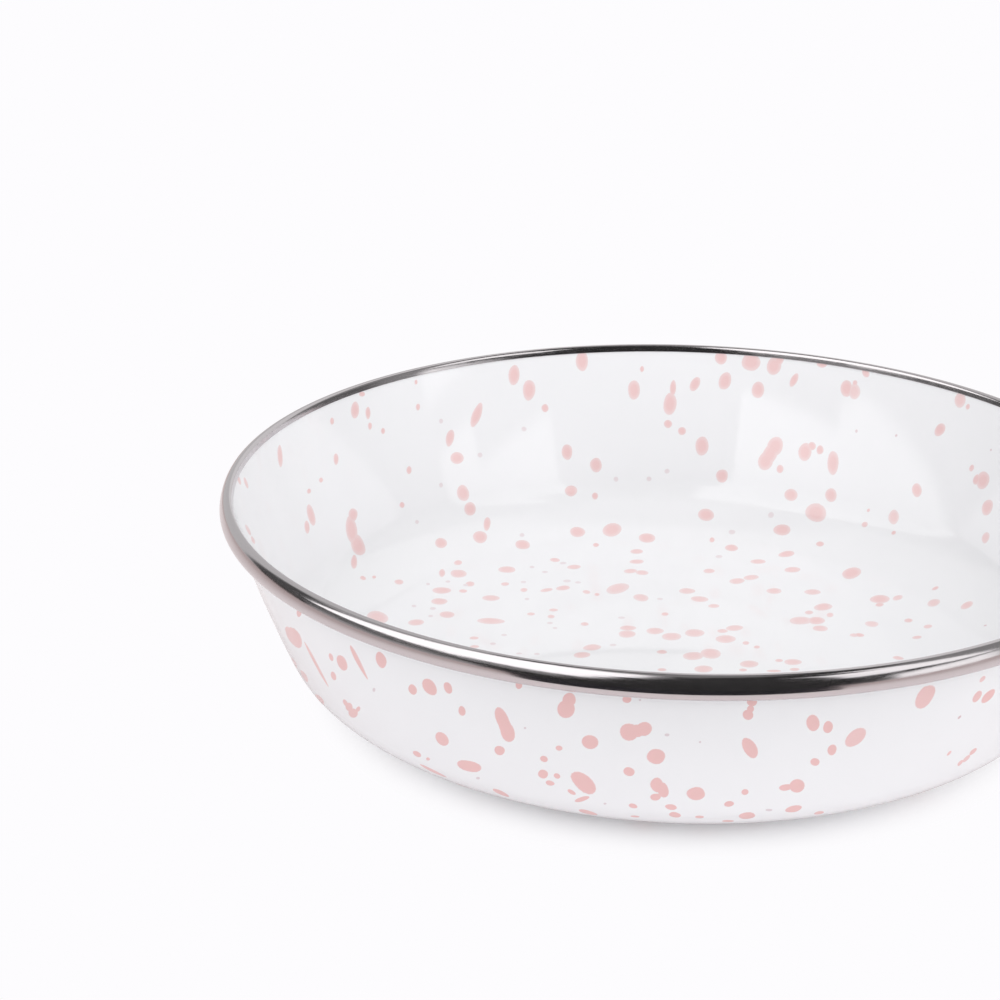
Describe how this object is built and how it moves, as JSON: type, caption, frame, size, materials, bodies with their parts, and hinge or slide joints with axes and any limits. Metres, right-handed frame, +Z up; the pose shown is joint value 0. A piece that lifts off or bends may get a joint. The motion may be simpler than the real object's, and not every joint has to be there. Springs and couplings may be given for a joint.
{
  "type": "serving bowl",
  "caption": "Wide, low enamelled steel serving bowl with a flat foot, a shallow heel, a rounded knuckle, a flaring wall and a crimped stainless steel rim band.",
  "frame": {"origin": "middle of the foot, on the plane that the bowl stands on", "axes": "+Z up along the bowl's axis, +X to the side of the rim band's butt seam"},
  "size_m": [0.3, 0.3, 0.07],
  "materials": {
    "sheet_steel": "dark ground coat on low-carbon sheet steel",
    "inner_enamel": "gloss white vitreous enamel with pink spatter",
    "outer_enamel": "gloss white vitreous enamel with pink spatter",
    "stainless_band": "polished stainless strip"
  },
  "bodies": {
    "root": {"steel_core": "sheet_steel", "inner_enamel": "inner_enamel", "outer_enamel": "outer_enamel", "rim_band": "stainless_band"}
  },
  "joints": []
}
